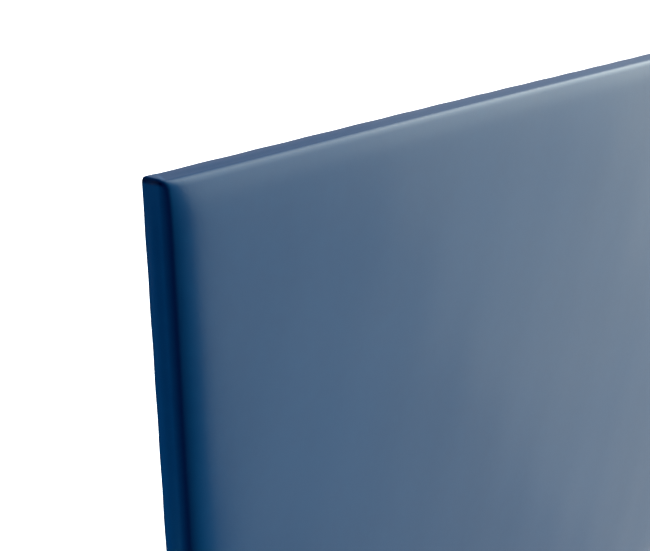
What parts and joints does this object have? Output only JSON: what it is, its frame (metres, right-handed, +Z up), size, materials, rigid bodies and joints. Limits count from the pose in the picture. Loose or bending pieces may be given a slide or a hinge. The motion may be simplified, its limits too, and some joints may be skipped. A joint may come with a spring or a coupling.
{
  "type": "wall punch pad",
  "caption": "Large flat vinyl-covered foam pad on a plywood board that hangs on two wall rails by 45-degree cleats and lifts off up and outwards.",
  "frame": {"origin": "on the wall plane, at the middle of the wall screw holes, which is behind the middle of the pad", "axes": "+X to the right as seen from in front of the pad, +Y into the wall, +Z up; the struck face is towards -Y"},
  "size_m": [2, 0.052, 1],
  "materials": {
    "vinyl": "satin blue PVC-coated fabric",
    "strike_foam": "open-cell soft foam",
    "shock_foam": "closed-cell firm foam",
    "plywood": "birch plywood, unfinished",
    "staple_steel": "galvanised wire",
    "zinc_steel": "zinc plated",
    "rubber": "matte black rubber",
    "aluminium": "mill-finish extrusion"
  },
  "bodies": {
    "wall_rails": {"lower_wall_rail": "aluminium", "upper_wall_rail": "aluminium"},
    "pad": {"backing_board": "plywood", "shock_foam": "shock_foam", "strike_foam": "strike_foam", "cover": "vinyl", "cover_staples": "staple_steel", "tee_nuts": "zinc_steel", "clip_screws": "zinc_steel", "clip_lock_washers": "zinc_steel", "wall_bumpers": "rubber", "bumper_screws": "zinc_steel", "lower_left_clip": "aluminium", "lower_centre_clip": "aluminium", "lower_right_clip": "aluminium", "upper_left_clip": "aluminium", "upper_centre_clip": "aluminium", "upper_right_clip": "aluminium"}
  },
  "joints": [
    {"name": "pad_lift", "type": "slide", "parent": "wall_rails", "child": "pad", "axis": [0, -0.7071, 0.7071], "range_m": [0, 0.12]}
  ]
}
